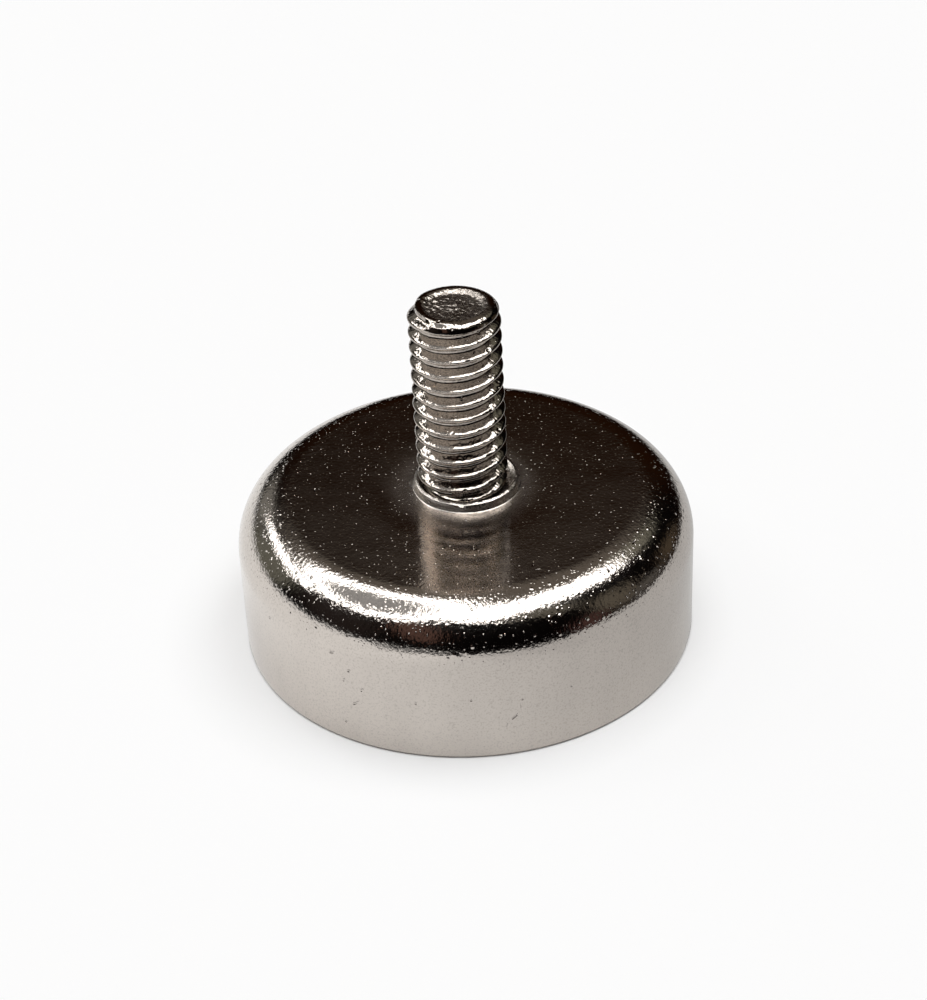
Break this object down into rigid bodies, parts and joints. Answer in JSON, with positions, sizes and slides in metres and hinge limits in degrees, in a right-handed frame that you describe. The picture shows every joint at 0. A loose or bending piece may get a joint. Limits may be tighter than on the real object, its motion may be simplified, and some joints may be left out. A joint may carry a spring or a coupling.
{
  "type": "pot magnet",
  "caption": "Round pot magnet: a drawn steel cup with its magnet potted inside, and a threaded stud on its closed end.",
  "frame": {"origin": "on the common axis of cup and stud, in the plane of the cup's ground rim, which holds and rests", "axes": "+Z along the stud, away from the holding face; X and Y are alike"},
  "size_m": [0.02, 0.02, 0.016],
  "materials": {
    "nickel_plated_cup": "bright nickel over drawn steel, lightly pitted and scuffed",
    "nickel_plated_stud": "bright nickel over a rolled thread",
    "nickel_plated_magnet": "satin nickel over a sintered magnet",
    "epoxy_resin": "cured black epoxy"
  },
  "bodies": {
    "root": {"steel_cup": "nickel_plated_cup", "threaded_stud": "nickel_plated_stud", "magnet_disc": "nickel_plated_magnet", "potting_resin": "epoxy_resin"}
  },
  "joints": []
}
